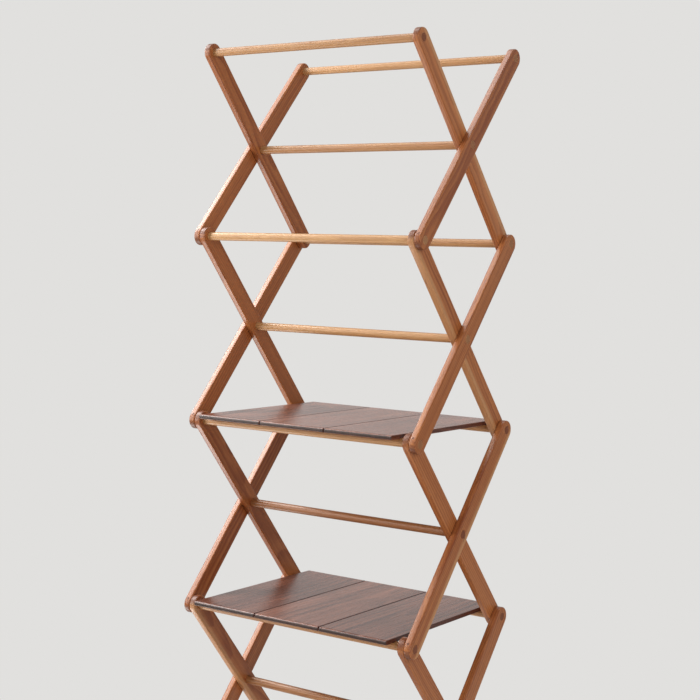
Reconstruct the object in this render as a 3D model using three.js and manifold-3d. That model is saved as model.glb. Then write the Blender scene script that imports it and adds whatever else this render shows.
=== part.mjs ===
// Folding bookstand rack: two lazy-tong towers of crossed wooden slats, tied by
// round dowels that are also the pivots, with two plank shelves laid between.
// Millimetres, +Z up, +X along the dowels, -Y is the front, z = 0 is the floor.
import * as THREE from 'three';
import { mergeVertices } from 'three/addons/utils/BufferGeometryUtils.js';
import Module from 'manifold-3d';

const wasm = await Module();
wasm.setup();

// ---------------------------------------------------------------- dimensions

const tierCount = 5;              // crossed frames stacked one above another
const tierHeight = 350;           // from one row of pivots to the next
const pivotSpan = 465;            // between a slat's two end pivots
const slatWidth = 35;
const slatThickness = 13;
const slatArris = 1.6;            // softened long edges
const insideWidth = 454;          // between the inner slats' inner faces
const layerGap = 0.5;             // between an inner slat and its outer slat
const footFlatDepth = 1.5;        // cut off the lowest slat ends

const dowelDiameter = 15.5;
const pivotClearance = 0.35;      // between a dowel and each bore, on the radius
const pinDiameter = 5;
const pinClearance = 0.3;
const pinBite = 4.5;              // how far a locking pin enters its dowel

const planksPerShelf = 3;
const plankThickness = 8;
const plankGap = 2;
const shelfSideGap = 12;          // between a shelf's side and the inner slats
const plankFrontOverhang = 33;    // past the front dowel's axis
const plankBackOverhang = 27;     // past the back dowel's axis
const plankArris = 2;
const grooveDepth = 1.5;          // how far a dowel sits up into a plank
const grooveClearance = 0.5;
const seatGap = 0.3;              // between a dowel's top and its groove

const roundSides = 24;            // facets round a dowel or a bore
const pinSides = 10;
const endArcSteps = 8;            // half the facets round a slat's half-round end
const grooveArcSteps = 8;
const cutMargin = 2;              // how far a cutter runs past what it cuts

// ------------------------------------------------------------- derived places

const pivotDepth = Math.sqrt(pivotSpan ** 2 - tierHeight ** 2);
const slatAngle = Math.atan2(tierHeight, pivotDepth);
const footPivotHeight = slatWidth / 2 - footFlatDepth;
const middleY = (plankFrontOverhang - plankBackOverhang) / 2;
const innerSlatX = insideWidth / 2 + slatThickness / 2;
const outerSlatX = innerSlatX + slatThickness + layerGap;
const innerFrameWidth = insideWidth + 2 * slatThickness;
const outerFrameWidth = innerFrameWidth + 2 * (slatThickness + layerGap);
const dowelRadius = dowelDiameter / 2;
const shelfWidth = insideWidth - 2 * shelfSideGap;
const plankWidth = (shelfWidth - (planksPerShelf - 1) * plankGap) / planksPerShelf;
const rowHeight = (row) => footPivotHeight + row * tierHeight;
const crossingHeight = (tier) => rowHeight(tier) - tierHeight / 2;

// Shelves by the row of dowels that carries them, counted from the floor.
const shelves = [
  { name: 'lower', row: 2 },
  { name: 'upper', row: 3 },
];

// ------------------------------------------------------------------ materials

const wood = (color, roughness) => new THREE.MeshStandardMaterial({ color, roughness, metalness: 0 });
const slatMaterial = () => wood(0x9a5f3a, 0.55);
const dowelMaterial = () => wood(0xc4905f, 0.55);
const pinMaterial = () => wood(0x7a4a2c, 0.6);
const plankMaterial = () => wood(0x6b4f48, 0.5);

// ------------------------------------------------------------- solid geometry

function toSolid(geometry) {
  const bare = geometry.clone();
  bare.deleteAttribute('normal');
  bare.deleteAttribute('uv');
  const merged = mergeVertices(bare, 1e-4);
  return new wasm.Manifold(new wasm.Mesh({
    numProp: 3,
    vertProperties: Float32Array.from(merged.attributes.position.array),
    triVerts: Uint32Array.from(merged.index.array),
  }));
}

function toGeometry(solid) {
  const mesh = solid.getMesh();
  const geometry = new THREE.BufferGeometry();
  geometry.setAttribute('position', new THREE.BufferAttribute(mesh.vertProperties, 3));
  geometry.setIndex(new THREE.BufferAttribute(mesh.triVerts, 1));
  geometry.computeVertexNormals();
  return geometry;
}

function cutAll(geometry, cutters) {
  const cut = cutters.reduce((solid, cutter) => solid.subtract(toSolid(cutter)), toSolid(geometry));
  return toGeometry(cut);
}

// A cylinder lying along X, centred on the origin.
function rodAlongX(radius, length, sides = roundSides) {
  return new THREE.CylinderGeometry(radius, radius, length, sides).rotateZ(Math.PI / 2);
}

// A cylinder along Z from z = bottom to z = top.
function rodAlongZ(radius, bottom, top, sides) {
  return new THREE.CylinderGeometry(radius, radius, top - bottom, sides)
    .rotateX(Math.PI / 2)
    .translate(0, 0, (bottom + top) / 2);
}

// Turns a profile drawn in X and Y and raised along Z into one drawn in Y and Z
// and raised along X, centred on x = 0.
function standAcross(geometry, depth) {
  const axes = new THREE.Matrix4().makeBasis(
    new THREE.Vector3(0, 1, 0),
    new THREE.Vector3(0, 0, 1),
    new THREE.Vector3(1, 0, 0),
  );
  return geometry.translate(0, 0, -depth / 2).applyMatrix4(axes);
}

// A bore whose flats clear a dowel's corners by the pivot clearance.
function boreAlongX(length) {
  const radius = (dowelRadius + pivotClearance) / Math.cos(Math.PI / roundSides);
  return rodAlongX(radius, length);
}

// ---------------------------------------------------------------------- slats

// A slat lies along Y with its width along Z, and its middle bore on the origin.
function slatBlank() {
  const endRadius = slatWidth / 2;
  const halfSpan = pivotSpan / 2;
  const outline = new THREE.Shape();
  outline.absarc(halfSpan, 0, endRadius, -Math.PI / 2, Math.PI / 2);
  outline.absarc(-halfSpan, 0, endRadius, Math.PI / 2, (3 * Math.PI) / 2);
  outline.closePath();
  const blank = new THREE.ExtrudeGeometry(outline, {
    depth: slatThickness - 2 * slatArris,
    bevelEnabled: true,
    bevelThickness: slatArris,
    bevelSize: slatArris,
    bevelOffset: -slatArris,
    bevelSegments: 1,
    curveSegments: endArcSteps,
  });
  return standAcross(blank, slatThickness - 2 * slatArris);
}

// What the floor cuts off a slat's lower end, in the slat's own frame.
function floorCutter(angle) {
  const size = slatWidth + 2 * cutMargin;
  return new THREE.BoxGeometry(size, size, size)
    .translate(0, 0, -footPivotHeight - size / 2)
    .rotateX(-angle);
}

function slatGeometry({ pinned, footAngle, footEnd }) {
  const boreLength = slatThickness + 2 * cutMargin;
  const cutters = [-pivotSpan / 2, 0, pivotSpan / 2]
    .map((y) => boreAlongX(boreLength).translate(0, y, 0));
  if (pinned) {
    const pinHole = rodAlongZ(pinDiameter / 2 + pinClearance, 0, slatWidth / 2 + cutMargin, pinSides);
    cutters.push(pinHole.translate(0, -pivotSpan / 2, 0));
  }
  if (footAngle !== undefined) {
    cutters.push(floorCutter(footAngle).translate(0, footEnd * pivotSpan / 2, 0));
  }
  return cutAll(slatBlank(), cutters);
}

// --------------------------------------------------------------- dowels, pins

function dowelGeometry(length, pinPlaces = []) {
  const holeBottom = dowelRadius - pinBite - pinClearance;
  const holes = pinPlaces.map((x) => rodAlongZ(
    pinDiameter / 2 + pinClearance, holeBottom, dowelRadius + cutMargin, pinSides,
  ).translate(x, 0, 0));
  return cutAll(rodAlongX(dowelRadius, length), holes);
}

// A pin runs from inside the dowel to flush with the slat's edge.
function pinGeometry() {
  return rodAlongZ(pinDiameter / 2, dowelRadius - pinBite, slatWidth / 2, pinSides);
}

// --------------------------------------------------------------------- planks

// A plank runs front to back along Y. Its origin is midway between the dowel
// axes, at their height, and each dowel lies in a shallow groove under it.
function plankGeometry() {
  const underside = dowelRadius + seatGap - grooveDepth;
  const top = underside + plankThickness;
  const front = -pivotDepth / 2 - plankFrontOverhang;
  const back = pivotDepth / 2 + plankBackOverhang;
  const grooveRadius = dowelRadius + grooveClearance;
  const grooveCentre = seatGap - grooveClearance;
  const grooveStart = Math.asin((underside - grooveCentre) / grooveRadius);

  const profile = new THREE.Shape();
  profile.moveTo(front + plankArris, underside);
  for (const y of [-pivotDepth / 2, pivotDepth / 2]) {
    for (let step = 0; step <= grooveArcSteps; step += 1) {
      const sweep = (Math.PI - 2 * grooveStart) * (step / grooveArcSteps);
      const angle = Math.PI - grooveStart - sweep;
      profile.lineTo(
        y + grooveRadius * Math.cos(angle),
        grooveCentre + grooveRadius * Math.sin(angle),
      );
    }
  }
  profile.lineTo(back - plankArris, underside);
  profile.lineTo(back, underside + plankArris);
  profile.lineTo(back, top - plankArris);
  profile.lineTo(back - plankArris, top);
  profile.lineTo(front + plankArris, top);
  profile.lineTo(front, top - plankArris);
  profile.lineTo(front, underside + plankArris);
  profile.closePath();
  const slab = new THREE.ExtrudeGeometry(profile, { depth: plankWidth, bevelEnabled: false });
  return toGeometry(toSolid(standAcross(slab, plankWidth)));
}

// ------------------------------------------------------------------- assembly

function addMesh(group, name, geometry, material, x, y = 0) {
  const mesh = new THREE.Mesh(geometry, material);
  mesh.name = name;
  mesh.position.set(x, y, 0);
  group.add(mesh);
  return mesh;
}

// An outer frame: two outer slats, rising to the back, with the back dowel at
// their head. Above the lowest tier, pins lock the front dowel at their foot.
function outerFrame(tier) {
  const frame = new THREE.Group();
  const pinned = tier > 1;
  frame.position.set(0, 0, crossingHeight(tier));
  frame.rotation.x = slatAngle;
  const foot = pinned ? {} : { footAngle: slatAngle, footEnd: -1 };
  for (const [side, sign] of [['left', -1], ['right', 1]]) {
    const geometry = slatGeometry({ pinned, ...foot });
    addMesh(frame, `tier_${tier}_outer_slat_${side}`, geometry, slatMaterial(), sign * outerSlatX);
    if (pinned) {
      addMesh(frame, `locking_pin_row_${tier - 1}_${side}`, pinGeometry(), pinMaterial(),
        sign * outerSlatX, -pivotSpan / 2);
    }
  }
  if (pinned) {
    const geometry = dowelGeometry(outerFrameWidth, [-outerSlatX, outerSlatX]);
    addMesh(frame, `front_dowel_row_${tier - 1}`, geometry, dowelMaterial(), 0, -pivotSpan / 2);
  }
  addMesh(frame, `back_dowel_row_${tier}`, dowelGeometry(outerFrameWidth), dowelMaterial(),
    0, pivotSpan / 2);
  return frame;
}

// An inner frame: two inner slats, rising to the front, with the crossing dowel
// that pivots the pair of frames. The lowest also holds the back foot dowel, and
// the highest the top front dowel.
function innerFrame(tier) {
  const frame = new THREE.Group();
  const angle = Math.PI - slatAngle;
  frame.position.set(0, 0, crossingHeight(tier));
  frame.rotation.x = angle;
  const foot = tier === 1 ? { footAngle: angle, footEnd: -1 } : {};
  for (const [side, sign] of [['left', -1], ['right', 1]]) {
    const geometry = slatGeometry({ pinned: false, ...foot });
    addMesh(frame, `tier_${tier}_inner_slat_${side}`, geometry, slatMaterial(), sign * innerSlatX);
  }
  addMesh(frame, `crossing_dowel_tier_${tier}`, dowelGeometry(outerFrameWidth), dowelMaterial(), 0);
  if (tier === 1) {
    addMesh(frame, 'back_dowel_row_0', dowelGeometry(innerFrameWidth), dowelMaterial(),
      0, -pivotSpan / 2);
  }
  if (tier === tierCount) {
    addMesh(frame, `front_dowel_row_${tierCount}`, dowelGeometry(innerFrameWidth), dowelMaterial(),
      0, pivotSpan / 2);
  }
  return frame;
}

function shelf({ name, row }) {
  const group = new THREE.Group();
  group.position.set(0, 0, rowHeight(row));
  const pitch = plankWidth + plankGap;
  const labels = ['left', 'middle', 'right'];
  for (let index = 0; index < planksPerShelf; index += 1) {
    const x = (index - (planksPerShelf - 1) / 2) * pitch;
    const label = planksPerShelf === labels.length ? labels[index] : `${index + 1}`;
    addMesh(group, `${name}_shelf_plank_${label}`, plankGeometry(), plankMaterial(), x);
  }
  return group;
}

// The front foot dowel lies level: the lowest outer frame turns about it.
function frontFootDowel() {
  const group = new THREE.Group();
  group.position.set(0, -pivotDepth / 2, rowHeight(0));
  addMesh(group, 'front_dowel_row_0', dowelGeometry(outerFrameWidth), dowelMaterial(), 0);
  return group;
}

const rack = new THREE.Group();
rack.position.y = middleY;
rack.add(frontFootDowel());
for (let tier = 1; tier <= tierCount; tier += 1) {
  rack.add(outerFrame(tier));
  rack.add(innerFrame(tier));
}
for (const entry of shelves) {
  rack.add(shelf(entry));
}

export default rack;
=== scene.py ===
import math
import random

import bmesh
import bpy
from mathutils import Matrix, Vector
from mathutils.geometry import tessellate_polygon


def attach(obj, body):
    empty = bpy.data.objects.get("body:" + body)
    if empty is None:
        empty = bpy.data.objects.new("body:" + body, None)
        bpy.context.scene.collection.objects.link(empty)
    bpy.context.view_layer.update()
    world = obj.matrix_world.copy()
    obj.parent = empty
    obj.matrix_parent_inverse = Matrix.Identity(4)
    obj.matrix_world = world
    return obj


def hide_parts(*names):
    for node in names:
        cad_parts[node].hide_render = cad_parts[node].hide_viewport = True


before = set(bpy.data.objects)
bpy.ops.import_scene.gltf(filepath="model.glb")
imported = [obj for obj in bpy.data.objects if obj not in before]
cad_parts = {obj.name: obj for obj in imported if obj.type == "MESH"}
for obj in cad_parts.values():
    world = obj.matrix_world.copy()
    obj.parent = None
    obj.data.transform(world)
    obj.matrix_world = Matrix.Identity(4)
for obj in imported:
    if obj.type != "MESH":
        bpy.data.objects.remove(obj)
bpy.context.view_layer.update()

# ---------------------------------------------------------------- dimensions
# Metres. The same values as the solids, with the rounding that wood has.

TIER_COUNT = 5
TIER_HEIGHT = 0.350
PIVOT_SPAN = 0.465
SLAT_WIDTH = 0.035
SLAT_THICKNESS = 0.013
SLAT_ROUNDING = 0.0020
SLAT_BORDER = 0.0007
INSIDE_WIDTH = 0.454
LAYER_GAP = 0.0005
FOOT_FLAT = 0.0015
DOWEL_RADIUS = 0.00775
DOWEL_SOFTENING = 0.0005
BORE_RADIUS = 0.0079
BORE_CHAMFER = 0.00025
PIN_RADIUS = 0.0025
PIN_BITE = 0.0042
PIN_BEVEL = 0.00025
PIN_BEVEL_DEPTH = 0.00012
PIN_RISE = 0.00004
PLANK_THICKNESS = 0.008
PLANK_LOW_RADIUS = 0.0022
PLANK_HIGH_RADIUS = 0.0038
PLANK_SIDE_RADIUS = 0.0009
PLANK_SIDE_BORDER = 0.0002
PLANK_WIDTH = 0.142
PLANK_GAP = 0.002
FRONT_OVERHANG = 0.033
BACK_OVERHANG = 0.027
GROOVE_DEPTH = 0.0015
GROOVE_CLEARANCE = 0.0005
SEAT_GAP = 0.0003

PIVOT_DEPTH = math.sqrt(PIVOT_SPAN ** 2 - TIER_HEIGHT ** 2)
SLAT_ANGLE = math.atan2(TIER_HEIGHT, PIVOT_DEPTH)
FOOT_PIVOT = SLAT_WIDTH / 2 - FOOT_FLAT
MIDDLE_Y = (FRONT_OVERHANG - BACK_OVERHANG) / 2
INNER_X = (INSIDE_WIDTH + SLAT_THICKNESS) / 2
OUTER_X = INNER_X + SLAT_THICKNESS + LAYER_GAP
INNER_WIDTH = INSIDE_WIDTH + 2 * SLAT_THICKNESS
OUTER_WIDTH = INNER_WIDTH + 2 * (SLAT_THICKNESS + LAYER_GAP)
SIDES = (("left", -1), ("right", 1))


def row_height(row):
    return FOOT_PIVOT + row * TIER_HEIGHT


def crossing_height(tier):
    return row_height(tier) - TIER_HEIGHT / 2


def frame_matrix(tier, angle):
    """A crossed frame's place: its slats lie along its own Y."""
    return Matrix.Translation((0, MIDDLE_Y, crossing_height(tier))) @ Matrix.Rotation(angle, 4, "X")


# -------------------------------------------------------------------- meshes

def ring(bm, points):
    return [bm.verts.new(point) for point in points]


def bridge(bm, first, second):
    count = len(first)
    for i in range(count):
        j = (i + 1) % count
        bm.faces.new((first[i], first[j], second[j], second[i]))


def circle(radius, count, y=0.0):
    turn = 2 * math.pi / count
    return [(y + radius * math.cos(i * turn), radius * math.sin(i * turn)) for i in range(count)]


def slat_mesh(pivots=(-1, 0, 1), end_steps=22, arris_steps=5, bore_sides=36):
    """A slat along Y, its width along Z, with rounded ends and edges and open bores."""
    bm = bmesh.new()
    half_span = PIVOT_SPAN / 2
    outline = []
    for end, start in ((1, -90), (-1, 90)):
        for i in range(end_steps + 1):
            a = math.radians(start + 180 * i / end_steps)
            outline.append((end * half_span, math.cos(a), math.sin(a)))

    def section(x, inset):
        reach = SLAT_WIDTH / 2 - inset
        return ring(bm, [(x, y + reach * ny, reach * nz) for y, ny, nz in outline])

    half = SLAT_THICKNESS / 2
    arcs = [math.pi / 2 * i / arris_steps for i in range(arris_steps + 1)]
    places = [(-half, SLAT_ROUNDING + SLAT_BORDER)]
    places += [(-half + SLAT_ROUNDING * (1 - math.cos(a)), SLAT_ROUNDING * (1 - math.sin(a)))
               for a in arcs]
    places += [(-x, inset) for x, inset in reversed(places)]
    sections = [section(x, inset) for x, inset in places]
    for first, second in zip(sections, sections[1:]):
        bridge(bm, first, second)

    bores = []
    for place in pivots:
        y = place * half_span
        rings = [ring(bm, [(x, cy, cz) for cy, cz in circle(radius, bore_sides, y)])
                 for x, radius in ((-half, BORE_RADIUS + BORE_CHAMFER),
                                   (-half + BORE_CHAMFER, BORE_RADIUS),
                                   (half - BORE_CHAMFER, BORE_RADIUS),
                                   (half, BORE_RADIUS + BORE_CHAMFER))]
        for first, second in zip(rings, rings[1:]):
            bridge(bm, second, first)
        bores.append(rings)
    for outer, index in ((sections[0], 0), (sections[-1], -1)):
        loops = [outer] + [rings[index] for rings in bores]
        flat = [[Vector((v.co.y, v.co.z, 0)) for v in loop] for loop in loops]
        verts = [v for loop in loops for v in loop]
        for a, b, c in tessellate_polygon(flat):
            bm.faces.new((verts[a], verts[b], verts[c]))
    bmesh.ops.recalc_face_normals(bm, faces=bm.faces)
    return bm


def dowel_mesh(length, sides=56):
    """A round rod along X with softened ends."""
    bm = bmesh.new()
    half = length / 2
    soft = DOWEL_SOFTENING
    places = [(-half, DOWEL_RADIUS - 2.2 * soft), (-half, DOWEL_RADIUS - soft),
              (-half + 0.3 * soft, DOWEL_RADIUS - 0.3 * soft), (-half + soft, DOWEL_RADIUS),
              (-half + 3 * soft, DOWEL_RADIUS)]
    places += [(-x, radius) for x, radius in reversed(places)]
    rings = [ring(bm, [(x, y, z) for y, z in circle(radius, sides)]) for x, radius in places]
    for first, second in zip(rings, rings[1:]):
        bridge(bm, first, second)
    bm.faces.new(rings[0])
    bm.faces.new(rings[-1])
    bmesh.ops.recalc_face_normals(bm, faces=bm.faces)
    return bm


def pin_mesh(sides=28):
    """A peg along Z whose top follows the rounded end of the slat that it locks."""
    bm = bmesh.new()
    bottom = DOWEL_RADIUS - PIN_BITE
    reach = SLAT_WIDTH / 2

    def top(y):
        return reach if y >= 0 else math.sqrt(reach ** 2 - y ** 2)

    outline = circle(PIN_RADIUS, sides)
    lowest = ring(bm, [(x, y, bottom) for x, y in outline])
    edge = ring(bm, [(x, y, top(y) - PIN_BEVEL_DEPTH) for x, y in outline])
    inset = circle(PIN_RADIUS - PIN_BEVEL, sides)
    crown = ring(bm, [(x, y, top(y) + PIN_RISE) for x, y in inset])
    middle = bm.verts.new((0, 0, reach + PIN_RISE))
    bridge(bm, lowest, edge)
    bridge(bm, edge, crown)
    for i in range(sides):
        bm.faces.new((crown[i], crown[(i + 1) % sides], middle))
    bm.faces.new(lowest)
    bmesh.ops.recalc_face_normals(bm, faces=bm.faces)
    return bm


def corner(y, z, turn, radius, steps=5):
    """Points of a rounded corner whose centre is y, z and which starts at turn degrees."""
    angles = [math.radians(turn - 90 * i / steps) for i in range(steps + 1)]
    return [(y + radius * math.cos(a), z + radius * math.sin(a)) for a in angles]


def plank_profile(inset, groove_steps=14):
    """A plank's section in Y and Z, clockwise from the front: rounded, with its two grooves."""
    low = DOWEL_RADIUS + SEAT_GAP - GROOVE_DEPTH
    high = low + PLANK_THICKNESS
    front = -PIVOT_DEPTH / 2 - FRONT_OVERHANG
    back = PIVOT_DEPTH / 2 + BACK_OVERHANG
    low_radius, high_radius = PLANK_LOW_RADIUS, PLANK_HIGH_RADIUS
    groove = DOWEL_RADIUS + GROOVE_CLEARANCE + inset
    centre = SEAT_GAP - GROOVE_CLEARANCE
    start = math.asin((low + inset - centre) / groove)
    points = []
    for y, z, turn, radius in ((front + low_radius, low + low_radius, 270, low_radius),
                               (front + high_radius, high - high_radius, 180, high_radius),
                               (back - high_radius, high - high_radius, 90, high_radius),
                               (back - low_radius, low + low_radius, 0, low_radius)):
        points += corner(y, z, turn, radius - inset)
        if turn == 180:
            points += [(front + 2 * radius, high - inset), (back - 2 * radius, high - inset)]
    points.append((back - 2 * low_radius, low + inset))
    for y in (PIVOT_DEPTH / 2, -PIVOT_DEPTH / 2):
        for i in range(groove_steps + 1):
            a = start + (math.pi - 2 * start) * i / groove_steps
            points.append((y + groove * math.cos(a), centre + groove * math.sin(a)))
    points.append((front + 2 * low_radius, low + inset))
    return points


def plank_mesh(steps=3):
    """A plank along Y with softened long edges."""
    bm = bmesh.new()
    half = PLANK_WIDTH / 2
    arris = PLANK_SIDE_RADIUS
    arcs = [math.pi / 2 * i / steps for i in range(steps + 1)]
    places = [(-half, arris + PLANK_SIDE_BORDER)]
    places += [(-half + arris * (1 - math.cos(a)), arris * (1 - math.sin(a))) for a in arcs]
    places.append((-half + 2 * arris, 0.0))
    places += [(-x, inset) for x, inset in reversed(places)]
    rings = [ring(bm, [(x, y, z) for y, z in plank_profile(inset)]) for x, inset in places]
    for first, second in zip(rings, rings[1:]):
        bridge(bm, first, second)
    bm.faces.new(rings[0])
    bm.faces.new(rings[-1])
    bmesh.ops.recalc_face_normals(bm, faces=bm.faces)
    return bm


def trim_at_floor(bm):
    """Cuts off what lies under z = 0 and closes the cut."""
    geometry = bm.verts[:] + bm.edges[:] + bm.faces[:]
    cut = bmesh.ops.bisect_plane(bm, geom=geometry, dist=1e-7, plane_co=(0, 0, 0),
                                 plane_no=(0, 0, 1), clear_inner=True)
    edges = [item for item in cut["geom_cut"] if isinstance(item, bmesh.types.BMEdge)]
    if edges:
        bmesh.ops.edgeloop_fill(bm, edges=edges)
        bmesh.ops.recalc_face_normals(bm, faces=bm.faces)


# -------------------------------------------------------------------- pieces

PITH_DISTANCE = (0.045, 0.110)
GRAIN_LENGTH = 40
SHARP_ANGLE = math.radians(32)


def add_piece(name, bm, matrix, body, material, along="y", sap=0, tone_light_and_shade=None, end_tone=1.0,
              side_shade=0.0, floor=False):
    """Makes the object, with grain coordinates that are its own and stay with it."""
    chance = random.Random(name)
    pith = chance.uniform(0, 2 * math.pi)
    reach = chance.uniform(*PITH_DISTANCE)
    along_grain = chance.uniform(0, GRAIN_LENGTH)
    shift = Vector((along_grain, reach * math.cos(pith), reach * math.sin(pith)))
    axis = {"x": 0, "y": 1, "z": 2}[along]
    others = [i for i in (0, 1, 2) if i != axis]
    grain = bm.verts.layers.float_vector.new("grain")
    end = bm.verts.layers.float.new("end")
    sapwood = bm.verts.layers.float.new("sap")
    shade = bm.verts.layers.float.new("tone_light_and_shade")
    value = chance.uniform(-1, 1) if tone_light_and_shade is None else tone_light_and_shade
    bm.normal_update()
    for v in bm.verts:
        v[grain] = Vector((v.co[axis], v.co[others[1]], v.co[others[0]])) + shift
        v[end] = abs(v.normal[axis]) * end_tone
        v[sapwood] = sap * v.co.z / (SLAT_WIDTH / 2)
        # Faces that point along X get darker by the side amount: painted shade on the planks' long
        # sides.
        v[shade] = value + side_shade * abs(v.normal[0])
    bm.transform(matrix)
    if floor:
        trim_at_floor(bm)
    mesh = bpy.data.meshes.new(name + "_fine")
    bm.to_mesh(mesh)
    bm.free()
    mesh.shade_smooth()
    mesh.set_sharp_from_angle(angle=SHARP_ANGLE)
    mesh.materials.append(material)
    piece = bpy.data.objects.new(name + "_fine", mesh)
    bpy.context.scene.collection.objects.link(piece)
    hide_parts(name)
    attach(piece, body)


# ----------------------------------------------------------------- materials

def srgb(r, g, b):
    """Linear colour of an 8-bit screen colour."""
    def lin(value):
        c = value / 255
        return c / 12.92 if c <= 0.04045 else ((c + 0.055) / 1.055) ** 2.4
    return (lin(r), lin(g), lin(b), 1.0)


class Graph:
    """Short names for the shader nodes of a material or a world, which starts empty."""

    def __init__(self, owner):
        owner.use_nodes = True
        self.tree = owner.node_tree
        self.tree.nodes.clear()

    def node(self, kind, inputs, **settings):
        made = self.tree.nodes.new(kind)
        for key, value in settings.items():
            setattr(made, key, value)
        for key, value in inputs.items():
            if isinstance(value, bpy.types.NodeSocket):
                self.tree.links.new(value, made.inputs[key])
            else:
                made.inputs[key].default_value = value
        return made

    def attribute(self, name, output="Fac"):
        return self.node("ShaderNodeAttribute", {}, attribute_name=name).outputs[output]

    def math(self, operation, a, b=0.0, c=0.0):
        return self.node("ShaderNodeMath", {0: a, 1: b, 2: c}, operation=operation).outputs[0]

    def scaled(self, vector, scale):
        node = self.node("ShaderNodeVectorMath", {0: vector, 1: scale}, operation="MULTIPLY")
        return node.outputs[0]

    def noise(self, vector, detail=2.0, roughness=0.5, distortion=0.0):
        inputs = {"Vector": vector, "Scale": 1.0, "Detail": detail, "Roughness": roughness,
                  "Distortion": distortion}
        return self.node("ShaderNodeTexNoise", inputs).outputs[0]

    def span(self, value, low, high, to_low=0.0, to_high=1.0, smooth=False):
        kind = "SMOOTHSTEP" if smooth else "LINEAR"
        inputs = {0: value, 1: low, 2: high, 3: to_low, 4: to_high}
        return self.node("ShaderNodeMapRange", inputs, interpolation_type=kind).outputs[0]

    def mix(self, factor, a, b):
        inputs = {0: factor, 6: a, 7: b}
        return self.node("ShaderNodeMix", inputs, data_type="RGBA").outputs[2]


def wood(name, light, dark, deep, sapwood, end_grain, ring_width, ring_strength, streak_strength,
         pore_strength, fleck_strength, rough, bump_depth, end_dark, tone_range):
    """Sawn and oiled wood: rings about a pith, long streaks, fibres, pores and gum flecks."""
    material = bpy.data.materials.new(name)
    g = Graph(material)
    grain = g.attribute("grain", "Vector")
    split = g.node("ShaderNodeSeparateXYZ", {0: grain})
    radial = g.math("SQRT", g.math("ADD", g.math("MULTIPLY", split.outputs[1], split.outputs[1]),
                                   g.math("MULTIPLY", split.outputs[2], split.outputs[2])))

    # Growth rings about the pith, bent by slow waves.
    sway = g.noise(g.scaled(grain, (3.2, 9.0, 9.0)), 2.0, 0.45)
    wander = g.noise(g.scaled(grain, (16.0, 60.0, 60.0)), 2.0, 0.5)
    bent = g.math("MULTIPLY_ADD", sway, 0.030, radial)
    bent = g.math("MULTIPLY_ADD", wander, 0.0022, bent)
    rings = g.math("FRACT", g.math("DIVIDE", bent, ring_width))
    late = g.math("MULTIPLY", g.span(rings, 0.15, 0.88, smooth=True),
                  g.span(rings, 0.90, 1.0, 1.0, 0.0, smooth=True))

    # Noise that is drawn out along the grain, from the broadest streaks to the finest fibres.
    streaks = g.noise(g.scaled(grain, (2.6, 150.0, 150.0)), 4.0, 0.62, 0.15)
    broad = g.noise(g.scaled(grain, (1.3, 38.0, 38.0)), 2.0, 0.5)
    fibres = g.noise(g.scaled(grain, (26.0, 1500.0, 1500.0)), 3.0, 0.6)
    pores = g.span(g.noise(g.scaled(grain, (110.0, 2300.0, 2300.0)), 1.0, 0.4), 0.60, 0.74)
    flecks = g.span(g.noise(g.scaled(grain, (42.0, 620.0, 620.0)), 1.0, 0.3), 0.735, 0.79)

    # How far the colour goes from light to dark.
    amount = g.math("MULTIPLY", late, ring_strength)
    amount = g.math("MULTIPLY_ADD", g.span(streaks, 0.30, 0.72), streak_strength, amount)
    amount = g.math("MULTIPLY_ADD", g.span(broad, 0.30, 0.70), 0.30, amount)
    amount = g.math("MULTIPLY_ADD", g.span(fibres, 0.25, 0.75, -0.5, 0.5), 0.22, amount)
    # The tone attribute also carries painted shade on the planks' sides and on the rods under the
    # shelves, and painted light on one rod.
    amount = g.math("MULTIPLY_ADD", g.attribute("tone_light_and_shade"), tone_range, amount)
    amount = g.math("MAXIMUM", g.math("MINIMUM", amount, 1.0), 0.0)
    colour = g.mix(amount, light, dark)

    # Sapwood with a ragged border, pores, flecks and end grain lie over it.
    ragged = g.math("MULTIPLY_ADD", g.math("SUBTRACT", streaks, 0.5), 0.9, g.attribute("sap"))
    pale = g.span(ragged, 0.22, 0.50, smooth=True)
    colour = g.mix(g.math("MULTIPLY", pale, 0.55), colour, sapwood)
    colour = g.mix(g.math("MULTIPLY", pores, pore_strength), colour, deep)
    colour = g.mix(g.math("MULTIPLY", flecks, fleck_strength), colour, deep)
    end = g.span(g.attribute("end"), 0.60, 0.96, 0.0, end_dark, smooth=True)
    speckle = g.span(g.noise(g.scaled(grain, (60.0, 900.0, 900.0)), 2.0, 0.6), 0.3, 0.7, 0.75, 1.15)
    colour = g.mix(g.math("MULTIPLY", end, speckle), colour, end_grain)

    # Fibres, pores and end grain are duller, and the surface has a slight relief.
    matt = g.math("MULTIPLY_ADD", fibres, 0.16, rough - 0.08)
    matt = g.math("MULTIPLY_ADD", pores, 0.18, matt)
    matt = g.math("MULTIPLY_ADD", end, 0.12, matt)
    height = g.math("MULTIPLY_ADD", fibres, 0.15, g.math("MULTIPLY", late, 0.35))
    height = g.math("MULTIPLY_ADD", streaks, 0.25, height)
    height = g.math("SUBTRACT", height, g.math("MULTIPLY", pores, 0.18))
    bump = g.node("ShaderNodeBump", {"Height": height, "Strength": 1.0, "Distance": bump_depth})
    shader = g.node("ShaderNodeBsdfPrincipled", {"Base Color": colour, "Roughness": matt,
                                                 "Normal": bump.outputs[0],
                                                 "Specular IOR Level": 0.45})
    g.node("ShaderNodeOutputMaterial", {"Surface": shader.outputs[0]})
    return material


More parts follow.
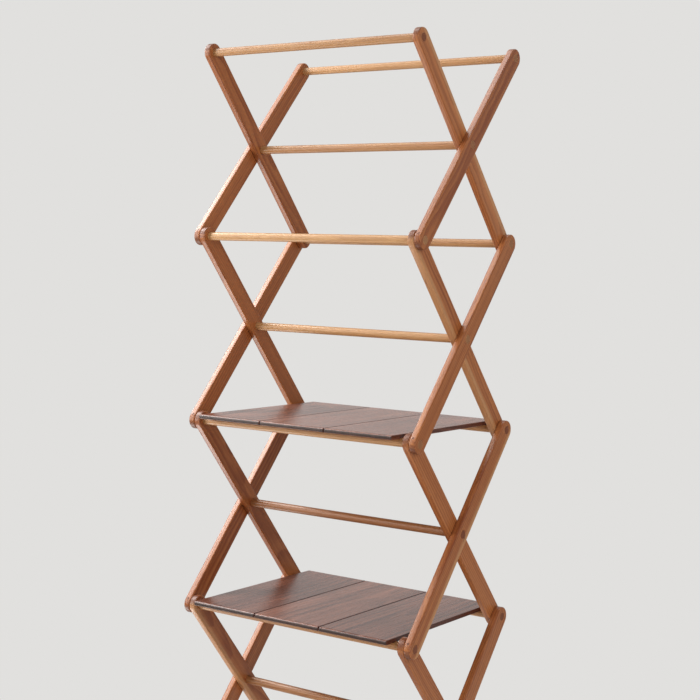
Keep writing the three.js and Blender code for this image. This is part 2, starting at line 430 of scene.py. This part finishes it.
CHERRY = wood("oiled_cherry", light=srgb(192, 123, 72), dark=srgb(136, 72, 37),
              deep=srgb(70, 32, 17), sapwood=srgb(208, 160, 114), end_grain=srgb(92, 44, 22),
              ring_width=0.0044, ring_strength=0.38, streak_strength=0.52, pore_strength=0.28,
              fleck_strength=0.65, rough=0.31, bump_depth=0.00006, end_dark=0.78, tone_range=0.22)
ROD = wood("oiled_rod", light=srgb(210, 162, 110), dark=srgb(155, 100, 60),
           deep=srgb(88, 48, 24), sapwood=srgb(214, 170, 126), end_grain=srgb(112, 54, 28),
           ring_width=0.0030, ring_strength=0.24, streak_strength=0.34, pore_strength=0.20,
           fleck_strength=0.28, rough=0.35, bump_depth=0.00006, end_dark=0.95, tone_range=0.34)
PEG = wood("peg_end_grain", light=srgb(150, 88, 50), dark=srgb(110, 60, 34),
           deep=srgb(64, 34, 20), sapwood=srgb(150, 96, 62), end_grain=srgb(84, 42, 24),
           ring_width=0.0016, ring_strength=0.40, streak_strength=0.30, pore_strength=0.35,
           fleck_strength=0.2, rough=0.50, bump_depth=0.00008, end_dark=0.60, tone_range=0.20)
# The walnut's light colour is paler than the bare wood: part of the shelf tops' sheen is painted
# into it.
WALNUT = wood("oiled_walnut", light=srgb(164, 108, 88), dark=srgb(84, 47, 38),
              deep=srgb(30, 15, 12), sapwood=srgb(150, 118, 98), end_grain=srgb(28, 14, 11),
              ring_width=0.0074, ring_strength=0.30, streak_strength=0.60, pore_strength=0.62,
              fleck_strength=0.25, rough=0.28, bump_depth=0.00010, end_dark=0.92, tone_range=0.26)

# ---------------------------------------------------------------- the object

# Pale sapwood runs along one edge of these slats: their own +Z edge if the value is positive.
SAPWOOD = {("inner", 5, "right"): -0.8, ("inner", 4, "right"): 0.7, ("outer", 3, "right"): -0.7,
           ("inner", 2, "left"): 0.8, ("outer", 1, "left"): -0.8}

# Tones go from -1, pale, to 1, dark, and a little beyond. Slats not listed take one at random.
SLAT_TONE = {("outer", 5, "right"): 0.9, ("inner", 5, "left"): 0.6, ("outer", 5, "left"): 0.1,
             ("inner", 5, "right"): -0.6, ("outer", 4, "right"): 0.1, ("inner", 4, "left"): 0.1,
             ("outer", 4, "left"): 0.2, ("inner", 4, "right"): -0.5, ("outer", 3, "right"): 0.0,
             ("inner", 3, "left"): 0.5, ("outer", 3, "left"): 0.5, ("inner", 3, "right"): -0.3,
             ("inner", 2, "left"): 0.8, ("outer", 2, "right"): 0.0, ("outer", 2, "left"): 0.4}

# Tones of the rods, partly their own: those under the shelves are darker, as painted shade from the
# shelves above, and front_dowel_row_4 is paler, as painted light.
ROD_TONE_LIGHT_AND_SHADE = {"crossing_dowel_tier_1": 0.8, "crossing_dowel_tier_2": 1.4,
            "crossing_dowel_tier_3": 1.6, "crossing_dowel_tier_4": -0.4,
            "crossing_dowel_tier_5": 0.4, "front_dowel_row_2": 0.5, "front_dowel_row_4": -0.9,
            "front_dowel_row_5": 0.4, "back_dowel_row_5": 0.1}

# Some rods show pale ends, and the others dark ones.
PALE_ROD_END = 0.81
PLAIN_ROD_TONE = 0.2
PALE_ROD_ENDS = ("crossing_dowel_tier_5", "crossing_dowel_tier_4", "front_dowel_row_4",
                 "back_dowel_row_4", "front_dowel_row_3", "back_dowel_row_5")

# The planks' long sides are darkened, as painted shade.
PLANK_SIDE_SHADE = 2.2
PLANK_TONE = {"lower_shelf_plank_left": 0.7, "lower_shelf_plank_middle": -0.4,
              "lower_shelf_plank_right": 0.1, "upper_shelf_plank_left": 0.1,
              "upper_shelf_plank_middle": -0.5, "upper_shelf_plank_right": -0.3}


LAYERS = (("outer", OUTER_X, SLAT_ANGLE), ("inner", INNER_X, math.pi - SLAT_ANGLE))

for tier in range(1, TIER_COUNT + 1):
    for layer, x, angle in LAYERS:
        place = frame_matrix(tier, angle)
        body = f"tier_{tier}_{layer}_frame"
        for side, sign in SIDES:
            add_piece(f"tier_{tier}_{layer}_slat_{side}", slat_mesh(),
                      place @ Matrix.Translation((sign * x, 0, 0)), body, CHERRY,
                      sap=SAPWOOD.get((layer, tier, side), 0), floor=tier == 1,
                      tone_light_and_shade=SLAT_TONE.get((layer, tier, side)))
            if layer == "outer" and tier > 1:
                foot = Matrix.Translation((sign * x, -PIVOT_SPAN / 2, 0))
                add_piece(f"locking_pin_row_{tier - 1}_{side}", pin_mesh(), place @ foot,
                          body, PEG, along="z")
        low_end = place @ Matrix.Translation((0, -PIVOT_SPAN / 2, 0))
        high_end = place @ Matrix.Translation((0, PIVOT_SPAN / 2, 0))
        rods = []
        if layer == "outer":
            rods.append((f"back_dowel_row_{tier}", OUTER_WIDTH, high_end))
            if tier > 1:
                rods.append((f"front_dowel_row_{tier - 1}", OUTER_WIDTH, low_end))
        else:
            rods.append((f"crossing_dowel_tier_{tier}", OUTER_WIDTH, place))
            if tier == 1:
                rods.append(("back_dowel_row_0", INNER_WIDTH, low_end))
            if tier == TIER_COUNT:
                rods.append((f"front_dowel_row_{TIER_COUNT}", INNER_WIDTH, high_end))
        for name, length, matrix in rods:
            add_piece(name, dowel_mesh(length), matrix, body, ROD, along="x",
                      tone_light_and_shade=ROD_TONE_LIGHT_AND_SHADE.get(name, PLAIN_ROD_TONE),
                      end_tone=PALE_ROD_END if name in PALE_ROD_ENDS else 1)

add_piece("front_dowel_row_0", dowel_mesh(OUTER_WIDTH),
          Matrix.Translation((0, MIDDLE_Y - PIVOT_DEPTH / 2, row_height(0))),
          "front_foot_dowel", ROD, along="x")

for shelf, row in (("lower", 2), ("upper", 3)):
    for index, label in enumerate(("left", "middle", "right")):
        x = (index - 1) * (PLANK_WIDTH + PLANK_GAP)
        name = f"{shelf}_shelf_plank_{label}"
        add_piece(name, plank_mesh(), Matrix.Translation((x, MIDDLE_Y, row_height(row))),
                  f"{shelf}_shelf", WALNUT, along="y", tone_light_and_shade=PLANK_TONE[name],
                  side_shade=PLANK_SIDE_SHADE)

# ----------------------------------------------------- floor, light, backdrop

BACKDROP = srgb(225, 224, 222)
DAYLIGHT = (1.0, 0.985, 0.96)
FLOOR_HALF_SIZE = 30.0
FLOOR_FADE = (0.5, 1.3)

# What reflections see: the backdrop, brighter to the left than to the right, and a window.
LEFT_BRIGHTNESS = 1.05
RIGHT_BRIGHTNESS = 0.42
WINDOW_DIRECTION = (-0.584, -0.108, 0.804)
WINDOW_EDGE = (0.90, 0.97)
WINDOW_BRIGHTNESS = 6.0
ROOM_BRIGHTNESS = 0.30

# Name, place, target, size, power and colour.
LAMPS = (
    ("window", (-1.9, -1.5, 1.7), (-0.1, -0.1, 1.2), (1.5, 2.2), 48.0, (1.0, 0.98, 0.95)),
    ("window_high", (-1.45, -0.3, 2.3), (-0.24, 0, 0.78), (0.5, 1.0), 22.0, DAYLIGHT),
    ("sunlit_floor", (-1.1, -0.32, 0.03), (-1.1, -0.32, 1.3), (0.7, 0.5), 7.5, DAYLIGHT),
    ("room_right", (3.0, -1.6, 1.7), (0, 0, 1.1), (2.4, 2.4), 45.0, (1.0, 0.97, 0.93)),
    ("ceiling", (0.3, 0.8, 3.6), (0, 0, 1.0), (2.6, 2.6), 14.0, (1.0, 0.99, 0.98)))


def make_floor():
    """A pale floor near the rack, which fades into the backdrop further out."""
    mesh = bpy.data.meshes.new("floor")
    size = FLOOR_HALF_SIZE
    mesh.from_pydata([(-size, -size, 0), (size, -size, 0), (size, size, 0), (-size, size, 0)],
                     [], [(0, 1, 2, 3)])
    floor = bpy.data.objects.new("floor", mesh)
    bpy.context.scene.collection.objects.link(floor)
    material = bpy.data.materials.new("pale_floor")
    g = Graph(material)
    place = g.node("ShaderNodeTexCoord", {}).outputs["Object"]
    radius = g.node("ShaderNodeVectorMath", {0: place}, operation="LENGTH").outputs["Value"]
    camera = g.node("ShaderNodeLightPath", {}).outputs["Is Camera Ray"]
    away = g.math("MULTIPLY", g.span(radius, *FLOOR_FADE, smooth=True), camera)
    matt = g.node("ShaderNodeBsdfPrincipled", {"Base Color": srgb(226, 224, 221), "Roughness": 0.9,
                                               "Specular IOR Level": 0.1})
    flat = g.node("ShaderNodeEmission", {"Color": BACKDROP, "Strength": 1.0})
    blend = g.node("ShaderNodeMixShader", {0: away, 1: matt.outputs[0], 2: flat.outputs[0]})
    g.node("ShaderNodeOutputMaterial", {"Surface": blend.outputs[0]})
    mesh.materials.append(material)


def make_world():
    """A plain backdrop for the camera; reflections see it too, and a window up on the left."""
    world = bpy.data.worlds.new("studio")
    bpy.context.scene.world = world
    g = Graph(world)
    path = g.node("ShaderNodeLightPath", {})
    towards = g.node("ShaderNodeTexCoord", {}).outputs["Generated"]
    sideways = g.node("ShaderNodeSeparateXYZ", {0: towards}).outputs[0]
    side = g.span(sideways, -0.7, 0.7, LEFT_BRIGHTNESS, RIGHT_BRIGHTNESS)
    near = g.node("ShaderNodeVectorMath", {0: towards, 1: WINDOW_DIRECTION},
                  operation="DOT_PRODUCT")
    pane = g.span(near.outputs["Value"], *WINDOW_EDGE, 0.0, WINDOW_BRIGHTNESS, smooth=True)
    room = g.node("ShaderNodeBackground", {"Color": (*DAYLIGHT, 1.0), "Strength": ROOM_BRIGHTNESS})
    mirrored = g.node("ShaderNodeBackground", {"Color": BACKDROP,
                                               "Strength": g.math("ADD", side, pane)})
    backdrop = g.node("ShaderNodeBackground", {"Color": BACKDROP, "Strength": 1.0})
    glossy = g.node("ShaderNodeMixShader", {0: path.outputs["Is Glossy Ray"], 1: room.outputs[0],
                                            2: mirrored.outputs[0]})
    seen = g.node("ShaderNodeMixShader", {0: path.outputs["Is Camera Ray"], 1: glossy.outputs[0],
                                          2: backdrop.outputs[0]})
    g.node("ShaderNodeOutputWorld", {0: seen.outputs[0]})


def make_lamp(name, place, target, size, power, colour):
    lamp = bpy.data.lights.new(name, "AREA")
    lamp.shape = "RECTANGLE"
    lamp.size, lamp.size_y = size
    lamp.energy = power
    lamp.color = colour
    holder = bpy.data.objects.new(name, lamp)
    holder.location = place
    holder.rotation_euler = (Vector(target) - Vector(place)).to_track_quat("-Z", "Y").to_euler()
    holder.visible_camera = False
    bpy.context.scene.collection.objects.link(holder)


make_floor()
make_world()
for lamp in LAMPS:
    make_lamp(*lamp)

# -------------------------------------------------------------------- camera

# Found by fitting the pivots, dowels and shelf corners to the photograph.
CAMERA_PLACE = (1.5849, -2.3006, 1.3882)
CAMERA_YAW = -0.62362
CAMERA_PITCH = 0.01046
CAMERA_ROLL = -0.02614
SENSOR_WIDTH = 36.0
FOCAL_LENGTH = 75.74
CAMERA_SHIFT = (0.0380, -0.1595)


def make_camera():
    yaw, pitch, roll = CAMERA_YAW, CAMERA_PITCH, CAMERA_ROLL
    ahead = Vector((math.sin(yaw) * math.cos(pitch), math.cos(yaw) * math.cos(pitch),
                    math.sin(pitch)))
    level = Vector((math.cos(yaw), -math.sin(yaw), 0))
    down = ahead.cross(level)
    right = level * math.cos(roll) + down * math.sin(roll)
    below = down * math.cos(roll) - level * math.sin(roll)
    turn = Matrix((right, -below, -ahead)).transposed().to_4x4()
    data = bpy.data.cameras.new("photo_view")
    data.sensor_width = SENSOR_WIDTH
    data.lens = FOCAL_LENGTH
    data.shift_x, data.shift_y = CAMERA_SHIFT
    camera = bpy.data.objects.new("photo_view", data)
    camera.matrix_world = Matrix.Translation(CAMERA_PLACE) @ turn
    bpy.context.scene.collection.objects.link(camera)
    bpy.context.scene.camera = camera


make_camera()
bpy.context.scene.view_settings.view_transform = "Standard"
